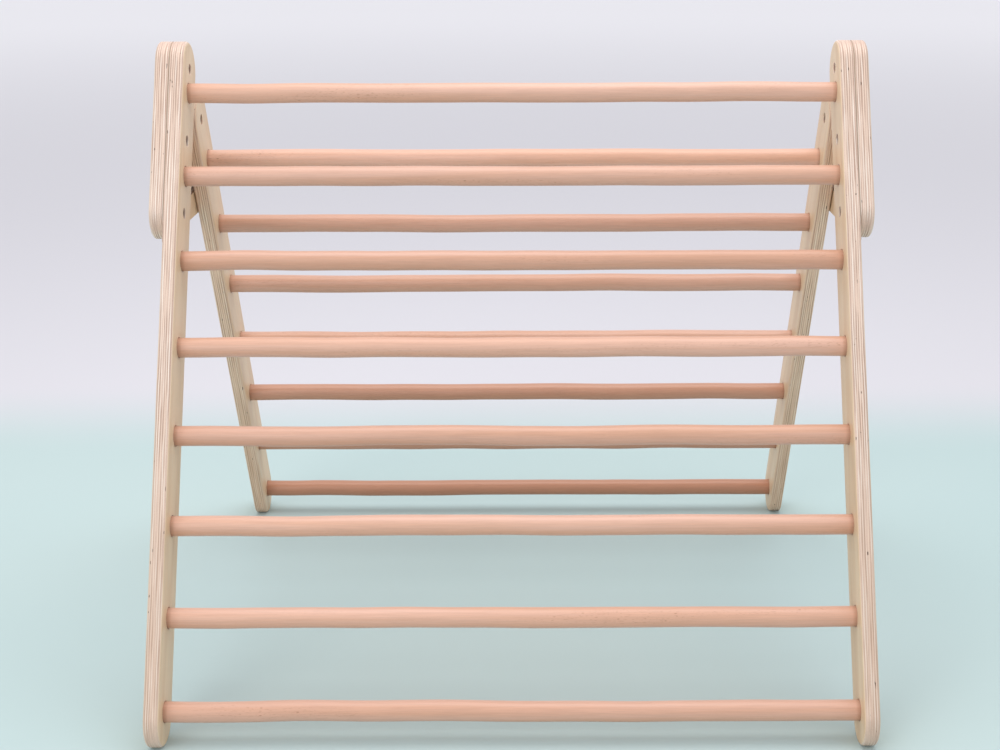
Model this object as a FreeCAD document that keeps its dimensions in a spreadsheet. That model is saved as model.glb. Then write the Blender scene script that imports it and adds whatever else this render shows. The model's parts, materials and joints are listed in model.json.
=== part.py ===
"""Folding climbing triangle: two rung ladders hinged near the top between two side plates.

X runs along the rungs, +Y from the front ladder to the rear ladder, +Z up.
The origin is on the floor, midway between the front and the rear feet, on the plane of symmetry.
Each rail is drawn in its own frame: Z up along the rail from the centre of its round foot,
Y across the rail towards the rear, X from the inner face towards the outer face.
"""
import FreeCAD, Part
import math
import os
import Sketcher

SIZES = [
    # the two ladders
    ("inner_width", 800.0, "clear width between the front rails"),
    ("ply_thickness", 18.0, "plywood of the rails and the side plates"),
    ("rail_width", 68.0, "width of every rail, and of its round ends"),
    ("lean_angle", 27.0, "each ladder's lean from upright, degrees"),
    ("rung_diameter", 24.0, "beech rungs"),
    ("rung_pitch", 107.0, "rung to rung along a rail"),
    ("lowest_rung_height", 40.0, "from a rail's foot end to its lowest rung, along the rail"),
    ("front_rung_count", 8, "rungs of the front ladder"),
    ("rear_rung_count", 7, "rungs of the rear ladder"),
    ("end_above_rung", 31.0, "centre of the front rail's round top above the top rung"),
    ("sole_length", 20.0, "flat sole under each round foot"),
    ("edge_round", 4.0, "round-over on the edges that hands meet"),
    ("edge_break", 1.0, "broken edge where two boards lie together"),
    # how a rung is held
    ("rung_seat_depth", 10.0, "blind seat in the inner face"),
    ("rung_seat_clearance", 0.6, "radial gap round a rung in its seat"),
    ("rung_end_bevel", 1.0, "bevel on a rung's ends"),
    ("rung_screw_radius", 2.0, "wood screw shank"),
    ("rung_screw_length", 40.0, "wood screw, head included"),
    ("rung_screw_head_radius", 4.0, "countersunk head"),
    ("rung_screw_clearance", 0.2, "radial gap round the shank in the rail"),
    # side plates and their screws
    ("screw_below_rung_one", 61.5, "second plate screw below the top rung"),
    ("screw_below_rung_two", 47.0, "third plate screw below the second rung"),
    ("plate_margin", 30.0, "plate below its lowest screw, measured upright"),
    ("plate_corner_radius", 30.0, "lower corners of a side plate"),
    ("head_recess_radius", 6.5, "recess for a cap screw's head"),
    ("head_recess_depth", 8.0, "recess for a cap screw's head"),
    ("screw_head_radius", 5.0, "cap screw head"),
    ("screw_head_height", 6.0, "cap screw head"),
    ("screw_shank_radius", 3.0, "cap screw shank"),
    ("screw_clearance", 0.2, "radial gap round a cap screw in the rail"),
    ("socket_radius", 2.6, "hexagon socket, corner to centre"),
    ("socket_depth", 3.0, "hexagon socket"),
    ("insert_radius", 5.0, "threaded insert in a side plate"),
    ("insert_length", 13.0, "threaded insert in a side plate"),
    # the pivot
    ("pivot_drop", 40.0, "pivot below the top plate screw, along the front rail"),
    ("rail_gap", 2.0, "rear rail's round top clear of the front rail"),
    ("swing_gap", 1.0, "rear rail clear of the side plate"),
    ("running_gap", 0.4, "play that a moving face keeps"),
    ("shaft_clearance", 0.05, "radial running clearance on a shaft"),
    ("bush_radius", 5.0, "steel bush in the rear rail"),
    ("washer_radius", 9.0, "pivot washer"),
    # the lock
    ("lock_below_rung", 30.0, "lock bolt below the rear ladder's top rung"),
    ("lock_shank_radius", 4.0, "lock bolt shank"),
    ("lock_head_radius", 8.0, "lock bolt's domed head"),
    ("lock_head_height", 4.0, "lock bolt's domed head"),
    ("lock_head_round", 3.2, "round-over of the domed head"),
    ("lock_recess_clearance", 0.6, "radial gap round the domed head"),
    ("lock_neck_length", 5.0, "square neck under the head"),
    ("lock_bolt_shortfall", 1.0, "bolt ends short of its nut's far face"),
    ("lock_washer_radius", 11.0, "washer under the knob"),
    ("lock_washer_thickness", 1.6, "washer under the knob"),
    ("knob_radius", 20.0, "five-lobed knob"),
    ("knob_height", 20.0, "five-lobed knob, boss included"),
    ("knob_boss_radius", 10.0, "boss of the knob"),
    ("knob_boss_height", 5.0, "boss of the knob"),
    ("knob_scallop_radius", 9.0, "finger scallop"),
    ("knob_scallop_depth", 4.5, "finger scallop"),
    ("knob_scallop_count", 5, "finger scallops"),
    ("knob_round", 2.0, "round-over of the knob"),
    ("knob_nut_radius", 6.5, "brass nut moulded into the knob"),
    ("knob_nut_length", 12.0, "brass nut moulded into the knob"),
]

# ---- places worked out from the sizes, as spreadsheet expressions ----
COS = "cos(Sizes.lean_angle)"
SIN = "sin(Sizes.lean_angle)"
TAN = "tan(Sizes.lean_angle)"
OPEN_ANGLE = "(2 * Sizes.lean_angle)"
END_RADIUS = "(Sizes.rail_width / 2)"
FOOT_HEIGHT = f"sqrt({END_RADIUS} ^ 2 - (Sizes.sole_length / 2) ^ 2)"
LOWEST_RUNG = f"(Sizes.lowest_rung_height - {END_RADIUS})"
TOP_RUNG = f"({LOWEST_RUNG} + (Sizes.front_rung_count - 1) * Sizes.rung_pitch)"
TOP_SCREW = f"({TOP_RUNG} + Sizes.end_above_rung)"
MIDDLE_SCREW = f"({TOP_RUNG} - Sizes.screw_below_rung_one)"
LOW_SCREW = f"({TOP_RUNG} - Sizes.rung_pitch - Sizes.screw_below_rung_two)"
PIVOT_UP = f"({TOP_SCREW} - Sizes.pivot_drop)"
PIVOT_ACROSS = "(Sizes.rail_width + Sizes.rail_gap)"
REAR_REACH = f"({PIVOT_UP} - {PIVOT_ACROSS} * {TAN})"
REAR_TOP_RUNG = f"({LOWEST_RUNG} + (Sizes.rear_rung_count - 1) * Sizes.rung_pitch)"
LOCK_UP = f"({REAR_TOP_RUNG} - Sizes.lock_below_rung)"
LOCK_RADIUS = f"({REAR_REACH} - {LOCK_UP})"
STANCE = f"({PIVOT_UP} * {SIN} + {PIVOT_ACROSS} * {COS} + {REAR_REACH} * {SIN})"
PLATE_LOW = f"({LOW_SCREW} * {COS} - Sizes.plate_margin)"
REAR_FACE = "(Sizes.inner_width / 2 - Sizes.swing_gap)"
PLATE_FACE = "(Sizes.inner_width / 2 + Sizes.ply_thickness)"
OUTER_FACE = "(Sizes.inner_width / 2 + 2 * Sizes.ply_thickness)"
SEAT_RADIUS = "(Sizes.rung_diameter / 2 + Sizes.rung_seat_clearance)"
SLOT_HALF_WIDTH = "(Sizes.lock_shank_radius + Sizes.running_gap)"
KNOB_BASE = f"({OUTER_FACE} + Sizes.running_gap + Sizes.lock_washer_thickness)"
LOCK_Y = f"({STANCE} / 2 - {LOCK_UP} * {SIN})"
LOCK_Z = f"({FOOT_HEIGHT} + {LOCK_UP} * {COS})"

# places (across, up) in a rail's frame, and how the pieces of each ladder stand
PLATE_SCREWS = [("0", TOP_SCREW), ("0", MIDDLE_SCREW), ("0", LOW_SCREW)]
PIVOT_PLACE = [(PIVOT_ACROSS, PIVOT_UP)]
INSERT_PLACES = PLATE_SCREWS + PIVOT_PLACE
LOCK_PLACE = [("0", LOCK_UP)]
FRONT_PLACE = {"y": f"-{STANCE} / 2", "z": FOOT_HEIGHT, "tilt": "-Sizes.lean_angle"}
REAR_PLACE = {"y": f"{STANCE} / 2", "z": FOOT_HEIGHT, "tilt": "Sizes.lean_angle"}
SIDES = {"right": 1, "left": -1}

doc = FreeCAD.newDocument("ClimbingTriangle")
sheet = doc.addObject("Spreadsheet::Sheet", "Sizes")
for row, (alias, number, note) in enumerate(SIZES, start=1):
    sheet.set(f"A{row}", str(number))
    sheet.setAlias(f"A{row}", alias)
    sheet.set(f"B{row}", note)
doc.recompute()

subparts = []


def size(expression):
    """The number that an expression of the sheet's cells gives now."""
    result = sheet.evalExpression(str(expression).replace("Sizes.", ""))
    return float(getattr(result, "Value", result))


def new_body(label):
    body = doc.addObject("PartDesign::Body", label)
    body.Label = label
    body.AllowCompound = True
    subparts.append(body)
    return body


def place(body, x="0", y="0", z="0", tilt="0"):
    """Stand a sub-part in the assembly: its origin's place, and its turn about X in degrees."""
    body.Placement = FreeCAD.Placement(FreeCAD.Vector(), FreeCAD.Rotation(FreeCAD.Vector(1, 0, 0), 0))
    for axis, expression in zip("xyz", (x, y, z)):
        body.setExpression(f".Placement.Base.{axis}", str(expression))
    body.setExpression(".Placement.Rotation.Axis.x", "1")
    body.setExpression(".Placement.Rotation.Axis.z", "0")
    body.setExpression(".Placement.Rotation.Angle", f"1 deg * ({tilt})")


def new_sketch(body, name, role, right="0", up="0", out="0", turn="0"):
    """A sketch on one of the body's own origin planes, shifted and turned in that plane."""
    sketch = body.newObject("Sketcher::SketchObject", name)
    plane = next(item for item in body.Origin.OriginFeatures if item.Role == role)
    sketch.AttachmentSupport = [(plane, "")]
    sketch.MapMode = "FlatFace"
    for axis, expression in zip("xyz", (right, up, out)):
        sketch.setExpression(f".AttachmentOffset.Base.{axis}", str(expression))
    if turn != "0":
        sketch.setExpression(".AttachmentOffset.Rotation.Angle", f"1 deg * ({turn})")
    doc.recompute()
    return sketch


def dimension(sketch, name, expression, kind, *references):
    """A driving dimension of a sketch, bound to the sheet."""
    number = size(expression)
    value = FreeCAD.Units.Quantity(f"{number} deg") if kind == "Angle" else number
    index = sketch.addConstraint(Sketcher.Constraint(kind, *references, value))
    sketch.renameConstraint(index, name)
    unit = "1 deg * " if kind == "Angle" else ""
    sketch.setExpression(f"Constraints.{name}", f"{unit}({expression})")


def add_circle(sketch, name, radius, right="0", up="0"):
    """A circle with its radius and centre bound to the sheet."""
    centre = FreeCAD.Vector(size(right), size(up), 0)
    circle = sketch.addGeometry(Part.Circle(centre, FreeCAD.Vector(0, 0, 1), size(radius)), False)
    dimension(sketch, f"{name}_radius", radius, "Radius", circle)
    if right == "0":
        sketch.addConstraint(Sketcher.Constraint("PointOnObject", circle, 3, -2))
    else:
        dimension(sketch, f"{name}_right", right, "DistanceX", -1, 1, circle, 3)
    if up == "0":
        sketch.addConstraint(Sketcher.Constraint("PointOnObject", circle, 3, -1))
    else:
        dimension(sketch, f"{name}_up", up, "DistanceY", -1, 1, circle, 3)
    return circle


def add_chain(sketch, pieces):
    """Arcs and lines drawn end to end round an outline, joined smoothly."""
    numbers = [sketch.addGeometry(piece, False) for piece in pieces]
    for first, second in zip(numbers, numbers[1:] + numbers[:1]):
        sketch.addConstraint(Sketcher.Constraint("Tangent", first, 2, second, 1))
    return numbers


def arc(centre, radius, start, end):
    """An arc, anticlockwise, its angles in degrees."""
    circle = Part.Circle(FreeCAD.Vector(*centre, 0), FreeCAD.Vector(0, 0, 1), radius)
    return Part.ArcOfCircle(circle, math.radians(start), math.radians(end))


def line(start, end):
    return Part.LineSegment(FreeCAD.Vector(*start, 0), FreeCAD.Vector(*end, 0))


def on_circle(centre, radius, angle):
    turn = math.radians(angle)
    return (centre[0] + radius * math.cos(turn), centre[1] + radius * math.sin(turn))


def add_outline(sketch, corners):
    """A closed outline of straight lines whose corners, (right, up) pairs, are bound to the sheet."""
    points = [FreeCAD.Vector(size(right), size(up), 0) for right, up in corners]
    edges = []
    for start, end in zip(points, points[1:] + points[:1]):
        edges.append(sketch.addGeometry(Part.LineSegment(start, end), False))
    for edge, following in zip(edges, edges[1:] + edges[:1]):
        sketch.addConstraint(Sketcher.Constraint("Coincident", edge, 2, following, 1))
    for number, (edge, (right, up)) in enumerate(zip(edges, corners)):
        if right == "0":
            sketch.addConstraint(Sketcher.Constraint("PointOnObject", edge, 1, -2))
        else:
            dimension(sketch, f"right_{number}", right, "DistanceX", -1, 1, edge, 1)
        if up == "0":
            sketch.addConstraint(Sketcher.Constraint("PointOnObject", edge, 1, -1))
        else:
            dimension(sketch, f"up_{number}", up, "DistanceY", -1, 1, edge, 1)


def add_box(sketch, left, right, low, high):
    """A rectangle bound to the sheet."""
    add_outline(sketch, [(left, low), (right, low), (right, high), (left, high)])


def pad(body, sketch, length, side=1):
    """Material from the sketch's plane, towards +normal for side 1 and -normal for side -1."""
    feature = body.newObject("PartDesign::Pad", f"Pad_{sketch.Name}")
    feature.Profile = sketch
    feature.Reversed = side < 0
    feature.setExpression("Length", length)
    doc.recompute()
    return feature


def pocket(body, sketch, depth, side=1):
    """A cut from the sketch's plane, towards +normal for side 1 and -normal for side -1."""
    before = body.Shape.Volume
    feature = body.newObject("PartDesign::Pocket", f"Pocket_{sketch.Name}")
    feature.Profile = sketch
    feature.Reversed = side > 0
    feature.setExpression("Length", depth)
    doc.recompute()
    if body.Shape.Volume >= before:
        raise RuntimeError(f"{body.Label}: {feature.Name} cuts nothing")
    return feature


def turned(body, kind, sketch):
    """A full turn of the sketch about its own horizontal axis: a Revolution or a Groove."""
    before = body.Shape.Volume if kind == "Groove" else None
    feature = body.newObject(f"PartDesign::{kind}", f"{kind}_{sketch.Name}")
    feature.Profile = sketch
    feature.ReferenceAxis = (sketch, ["H_Axis"])
    feature.Angle = 360
    doc.recompute()
    if before is not None and body.Shape.Volume >= before:
        raise RuntimeError(f"{body.Label}: {feature.Name} cuts nothing")
    return feature


def repeat_along_rail(body, feature, count):
    """Repeat a feature up the rail at the rung pitch."""
    sketch = feature.Profile[0]
    pattern = body.newObject("PartDesign::LinearPattern", f"Row_{feature.Name}")
    pattern.Originals = [feature]
    pattern.Direction = (sketch, ["V_Axis"])
    pattern.setExpression("Occurrences", count)
    pattern.setExpression("Length", f"({count} - 1) * Sizes.rung_pitch")
    body.Tip = pattern
    doc.recompute()
    return pattern


def round_face_edges(body, distance, radius):
    """Round the outline of the board's face that lies at this distance along X."""
    feature = body.Tip
    names = []
    for number, edge in enumerate(feature.Shape.Edges, start=1):
        if all(abs(vertex.X - distance) < 1e-6 for vertex in edge.Vertexes):
            names.append(f"Edge{number}")
    fillet = body.newObject("PartDesign::Fillet", f"Round_{len(body.Group)}")
    fillet.Base = (feature, names)
    fillet.setExpression("Radius", radius)
    doc.recompute()
    if "Up-to-date" not in fillet.State:
        raise RuntimeError(f"{body.Label}: {fillet.Name} failed")


# ---- rails ----
def rail_board(body, side, reach):
    """The bare board of a rail: a long strip with round ends."""
    radius = size(END_RADIUS)
    top = size(reach)
    sketch = new_sketch(body, f"{body.Label}_outline", "YZ_Plane")
    foot, rear, head, _ = add_chain(sketch, [
        arc((0, 0), radius, 180, 360),
        line((radius, 0), (radius, top)),
        arc((0, top), radius, 0, 180),
        line((-radius, top), (-radius, 0)),
    ])
    sketch.addConstraint(Sketcher.Constraint("Coincident", foot, 3, -1, 1))
    sketch.addConstraint(Sketcher.Constraint("Vertical", rear))
    dimension(sketch, "end_radius", END_RADIUS, "Radius", foot)
    dimension(sketch, "reach", reach, "DistanceY", foot, 3, head, 3)
    pad(body, sketch, "Sizes.ply_thickness", side)


def cut_sole(body, side, tilt):
    """The flat sole: the round foot is cut level with the floor."""
    sole = new_sketch(body, f"{body.Label}_sole", "YZ_Plane", turn=tilt)
    add_box(sole, "-Sizes.rail_width", "Sizes.rail_width", "-Sizes.rail_width", f"-{FOOT_HEIGHT}")
    pocket(body, sole, "Sizes.ply_thickness", side)


def cut_rung_seats(body, side, count):
    """A blind seat in the inner face for each rung, with a countersunk screw hole behind it."""
    hole = "(Sizes.rung_screw_radius + Sizes.rung_screw_clearance)"
    head = "(Sizes.rung_screw_head_radius + Sizes.rung_screw_clearance)"
    seat = new_sketch(body, f"{body.Label}_seat", "XZ_Plane", up=LOWEST_RUNG)
    depths = ["0", "Sizes.rung_seat_depth", f"Sizes.ply_thickness - ({head} - {hole})", "Sizes.ply_thickness"]
    inner, bottom, cone, outer = ["0" if depth == "0" else f"{side} * ({depth})" for depth in depths]
    add_outline(seat, [(inner, "0"), (inner, SEAT_RADIUS), (bottom, SEAT_RADIUS), (bottom, hole),
                       (cone, hole), (outer, head), (outer, "0")])
    repeat_along_rail(body, turned(body, "Groove", seat), count)


def cut_screw_holes(body, side, name, places, recess_radius, recess_depth, hole_radius):
    """Recessed screw holes from the inner face, at places (across, up) in the rail's frame."""
    recess = new_sketch(body, f"{body.Label}_{name}_recess", "YZ_Plane")
    hole = new_sketch(body, f"{body.Label}_{name}_hole", "YZ_Plane")
    for number, (across, up) in enumerate(places):
        add_circle(recess, f"recess_{number}", recess_radius, across, up)
        add_circle(hole, f"hole_{number}", hole_radius, across, up)
    pocket(body, recess, recess_depth, side)
    pocket(body, hole, "Sizes.ply_thickness", side)


def front_rail(name, side):
    body = new_body(f"front_rail_{name}")
    rail_board(body, side, TOP_SCREW)
    round_face_edges(body, 0, "Sizes.edge_round")
    round_face_edges(body, side * size("Sizes.ply_thickness"), "Sizes.edge_break")
    cut_sole(body, side, "Sizes.lean_angle")
    cut_rung_seats(body, side, "Sizes.front_rung_count")
    cut_screw_holes(body, side, "plate_screw", PLATE_SCREWS, "Sizes.head_recess_radius",
                    "Sizes.head_recess_depth", "Sizes.screw_shank_radius + Sizes.screw_clearance")
    place(body, x=f"{side} * Sizes.inner_width / 2", **FRONT_PLACE)


def rear_rail(name, side):
    body = new_body(f"rear_rail_{name}")
    rail_board(body, side, REAR_REACH)
    round_face_edges(body, 0, "Sizes.edge_round")
    round_face_edges(body, side * size("Sizes.ply_thickness"), "Sizes.edge_break")
    cut_sole(body, side, "-Sizes.lean_angle")
    cut_rung_seats(body, side, "Sizes.rear_rung_count")
    cut_screw_holes(body, side, "pivot", [("0", REAR_REACH)], "Sizes.head_recess_radius",
                    "Sizes.head_recess_depth", "Sizes.bush_radius")
    cut_screw_holes(body, side, "lock", [("0", LOCK_UP)],
                    "Sizes.lock_head_radius + Sizes.lock_recess_clearance",
                    "Sizes.lock_head_height", "Sizes.lock_shank_radius")
    neck = new_sketch(body, f"{body.Label}_neck", "YZ_Plane", up=LOCK_UP)
    add_box(neck, "-Sizes.lock_shank_radius", "Sizes.lock_shank_radius",
            "-Sizes.lock_shank_radius", "Sizes.lock_shank_radius")
    pocket(body, neck, "Sizes.lock_head_height + Sizes.lock_neck_length", side)
    place(body, x=f"{side} * {REAR_FACE}", **REAR_PLACE)


# ---- rungs and their screws ----
def rung(label, number, count, inner_face, stand):
    """One round rung, its ends in the rails' seats, counted from the top of its ladder."""
    body = new_body(label)
    half = f"({inner_face} + Sizes.rung_seat_depth)"
    radius = "(Sizes.rung_diameter / 2)"
    up = f"{LOWEST_RUNG} + ({count} - {number}) * Sizes.rung_pitch"
    profile = new_sketch(body, f"{label}_profile", "XZ_Plane", up=up)
    bevel = "Sizes.rung_end_bevel"
    add_outline(profile, [(f"-{half}", "0"), (f"-{half}", f"{radius} - {bevel}"),
                          (f"-{half} + {bevel}", radius), (f"{half} - {bevel}", radius),
                          (half, f"{radius} - {bevel}"), (half, "0")])
    turned(body, "Revolution", profile)
    wood_left = "(Sizes.ply_thickness - Sizes.rung_seat_depth)"
    for name, side in SIDES.items():
        pilot = new_sketch(body, f"{label}_pilot_{name}", "YZ_Plane", up=up, out=f"{side} * {half}")
        add_circle(pilot, "pilot", "Sizes.rung_screw_radius")
        pocket(body, pilot, f"Sizes.rung_screw_length - {wood_left}", -side)
    place(body, **stand)


def rung_screws(label, side, count, inner_face, stand):
    """One countersunk wood screw into the end of each rung, all the screws of one rail."""
    body = new_body(label)
    outer = f"{side} * ({inner_face} + Sizes.ply_thickness)"
    cone = f"{outer} - {side} * (Sizes.rung_screw_head_radius - Sizes.rung_screw_radius)"
    tip = f"{outer} - {side} * Sizes.rung_screw_length"
    point = f"{tip} + {side} * Sizes.rung_screw_radius"
    profile = new_sketch(body, f"{label}_profile", "XZ_Plane", up=LOWEST_RUNG)
    add_outline(profile, [(outer, "0"), (outer, "Sizes.rung_screw_head_radius"),
                          (cone, "Sizes.rung_screw_radius"), (point, "Sizes.rung_screw_radius"), (tip, "0")])
    repeat_along_rail(body, turned(body, "Revolution", profile), count)
    place(body, **stand)


# ---- side plates ----
def side_plate_outline(body, name):
    """Flush with both rails: round top, front edge, level lower edge, and rear edge round the pivot."""
    lean = math.radians(size("Sizes.lean_angle"))
    end, corner = size(END_RADIUS), size("Sizes.plate_corner_radius")
    top = (0.0, size(TOP_SCREW))
    pivot = (size(PIVOT_ACROSS), size(PIVOT_UP))
    corner_height = size(PLATE_LOW) + corner
    # each edge is named by the angle of the direction square to it
    bridge = math.degrees(math.atan2(pivot[0], top[1] - pivot[1]))
    rear = math.degrees(2 * lean)
    low = math.degrees(lean) - 90
    front = 180
    front_corner = (corner - end, (corner_height + (corner - end) * math.sin(lean)) / math.cos(lean))
    inset = on_circle(pivot, end - corner, rear)
    fall = (inset[1] * math.cos(lean) - inset[0] * math.sin(lean) - corner_height) / math.cos(lean)
    rear_corner = on_circle(inset, fall, rear - 90)
    sketch = new_sketch(body, name, "YZ_Plane")
    outline = [
        arc(top, end, bridge, front),
        line(on_circle(top, end, front), on_circle(front_corner, corner, front)),
        arc(front_corner, corner, front, low + 360),
        line(on_circle(front_corner, corner, low), on_circle(rear_corner, corner, low)),
        arc(rear_corner, corner, low, rear),
        line(on_circle(rear_corner, corner, rear), on_circle(pivot, end, rear)),
        arc(pivot, end, rear, bridge),
        line(on_circle(pivot, end, bridge), on_circle(top, end, bridge)),
    ]
    top_arc, front_edge, front_arc, low_edge, rear_arc, rear_edge, pivot_arc, _ = add_chain(sketch, outline)
    sketch.addConstraint(Sketcher.Constraint("PointOnObject", top_arc, 3, -2))
    sketch.addConstraint(Sketcher.Constraint("Vertical", front_edge))
    dimension(sketch, "top_up", TOP_SCREW, "DistanceY", -1, 1, top_arc, 3)
    dimension(sketch, "pivot_across", PIVOT_ACROSS, "DistanceX", -1, 1, pivot_arc, 3)
    dimension(sketch, "pivot_up", PIVOT_UP, "DistanceY", -1, 1, pivot_arc, 3)
    dimension(sketch, "top_radius", END_RADIUS, "Radius", top_arc)
    dimension(sketch, "pivot_radius", END_RADIUS, "Radius", pivot_arc)
    dimension(sketch, "front_radius", "Sizes.plate_corner_radius", "Radius", front_arc)
    dimension(sketch, "rear_radius", "Sizes.plate_corner_radius", "Radius", rear_arc)
    dimension(sketch, "low_angle", "Sizes.lean_angle", "Angle", low_edge)
    dimension(sketch, "rear_angle", f"90 + {OPEN_ANGLE}", "Angle", rear_edge)
    dimension(sketch, "low_height", PLATE_LOW, "Distance", -1, 1, low_edge)
    return sketch


def lock_slot(body, name):
    """The arc slot round the pivot that the lock bolt travels in, from open to folded."""
    pivot = (size(PIVOT_ACROSS), size(PIVOT_UP))
    radius, half_width = size(LOCK_RADIUS), size(SLOT_HALF_WIDTH)
    folded, opened = -90, size(OPEN_ANGLE) - 90
    sketch = new_sketch(body, name, "YZ_Plane")
    outer, opened_end, inner, folded_end = [sketch.addGeometry(piece, False) for piece in (
        arc(pivot, radius + half_width, folded, opened),
        arc(on_circle(pivot, radius, opened), half_width, opened, opened + 180),
        arc(pivot, radius - half_width, folded, opened),
        arc(on_circle(pivot, radius, folded), half_width, folded + 180, folded + 360),
    )]
    joins = ((outer, 2, opened_end, 1), (opened_end, 2, inner, 2),
             (inner, 1, folded_end, 1), (folded_end, 2, outer, 1))
    for join in joins:
        sketch.addConstraint(Sketcher.Constraint("Tangent", *join))
    sketch.addConstraint(Sketcher.Constraint("Coincident", outer, 3, inner, 3))
    dimension(sketch, "centre_across", PIVOT_ACROSS, "DistanceX", -1, 1, outer, 3)
    dimension(sketch, "centre_up", PIVOT_UP, "DistanceY", -1, 1, outer, 3)
    dimension(sketch, "outer_radius", f"{LOCK_RADIUS} + {SLOT_HALF_WIDTH}", "Radius", outer)
    dimension(sketch, "inner_radius", f"{LOCK_RADIUS} - {SLOT_HALF_WIDTH}", "Radius", inner)
    dimension(sketch, "folded_across", PIVOT_ACROSS, "DistanceX", -1, 1, folded_end, 3)
    dimension(sketch, "opened_up", f"{PIVOT_UP} - {LOCK_RADIUS} * cos{OPEN_ANGLE}", "DistanceY",
              -1, 1, opened_end, 3)
    return sketch


def side_plate(name, side):
    body = new_body(f"side_plate_{name}")
    pad(body, side_plate_outline(body, f"{body.Label}_outline"), "Sizes.ply_thickness", side)
    round_face_edges(body, 0, "Sizes.edge_break")
    round_face_edges(body, side * size("Sizes.ply_thickness"), "Sizes.edge_round")
    seats = new_sketch(body, f"{body.Label}_insert_seats", "YZ_Plane")
    for number, (across, up) in enumerate(INSERT_PLACES):
        add_circle(seats, f"seat_{number}", "Sizes.insert_radius", across, up)
    pocket(body, seats, "Sizes.insert_length", side)
    pocket(body, lock_slot(body, f"{body.Label}_slot"), "Sizes.ply_thickness", side)
    place(body, x=f"{side} * {PLATE_FACE}", **FRONT_PLACE)


# ---- screws, inserts and turned pieces: discs and tubes square to X ----
def add_discs(body, name, start, length, radius, places, side, bore=None):
    """Discs, or tubes where a bore is given, from X = start outwards, at places (across, up)."""
    sketch = new_sketch(body, f"{body.Label}_{name}", "YZ_Plane", out=f"{side} * ({start})")
    for number, (across, up) in enumerate(places):
        add_circle(sketch, f"{name}_{number}", radius, across, up)
        if bore:
            add_circle(sketch, f"{name}_bore_{number}", bore, across, up)
    return pad(body, sketch, length, side)


def cut_sockets(body, start, places, side):
    """A hexagon socket in each screw head."""
    sketch = new_sketch(body, f"{body.Label}_sockets", "YZ_Plane", out=f"{side} * ({start})")
    radius = size("Sizes.socket_radius")
    for number, (across, up) in enumerate(places):
        centre = (size(across), size(up))
        corners = [on_circle(centre, radius, angle) for angle in range(0, 360, 60)]
        circle = add_circle(sketch, f"socket_{number}", "Sizes.socket_radius", across, up)
        sketch.setConstruction(circle, True)
        edges = [sketch.addGeometry(line(*ends), False) for ends in zip(corners, corners[1:] + corners[:1])]
        for edge, following in zip(edges, edges[1:] + edges[:1]):
            sketch.addConstraint(Sketcher.Constraint("Coincident", edge, 2, following, 1))
            sketch.addConstraint(Sketcher.Constraint("PointOnObject", edge, 1, circle))
        for edge in edges[1:]:
            sketch.addConstraint(Sketcher.Constraint("Equal", edges[0], edge))
    pocket(body, sketch, "Sizes.socket_depth", side)


def cap_screws(label, side, places, seat, x):
    """Cap screws with their heads seated at X = seat, reaching the bottom of the plate's inserts."""
    body = new_body(label)
    head = f"{seat} - Sizes.screw_head_height"
    reach = "Sizes.ply_thickness + Sizes.insert_length"
    add_discs(body, "heads", head, "Sizes.screw_head_height", "Sizes.screw_head_radius", places, side)
    add_discs(body, "shanks", seat, f"{reach} - ({seat})", "Sizes.screw_shank_radius", places, side)
    cut_sockets(body, head, places, side)
    place(body, x=x, **FRONT_PLACE)


def tubes(label, side, start, length, radius, bore, places, x, stand):
    body = new_body(label)
    add_discs(body, "tubes", start, length, radius, places, side, bore)
    place(body, x=x, **stand)


# ---- the lock ----
def lock_bolt(name, side):
    """Domed head in the rear rail, square neck, and a shank out through the slot to the knob."""
    body = new_body(f"lock_bolt_{name}")
    head = "Sizes.lock_head_height"
    neck_end = f"({head} + Sizes.lock_neck_length)"
    tip = f"({KNOB_BASE} + Sizes.knob_nut_length - Sizes.lock_bolt_shortfall - {REAR_FACE})"
    add_discs(body, "head", "0", head, "Sizes.lock_head_radius", LOCK_PLACE, side)
    round_face_edges(body, 0, "Sizes.lock_head_round")
    neck = new_sketch(body, f"{body.Label}_neck", "YZ_Plane", up=LOCK_UP, out=f"{side} * {head}")
    add_box(neck, "-Sizes.lock_shank_radius", "Sizes.lock_shank_radius",
            "-Sizes.lock_shank_radius", "Sizes.lock_shank_radius")
    pad(body, neck, "Sizes.lock_neck_length", side)
    add_discs(body, "shank", neck_end, f"{tip} - {neck_end}", "Sizes.lock_shank_radius", LOCK_PLACE, side)
    place(body, x=f"{side} * {REAR_FACE}", **REAR_PLACE)


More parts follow.
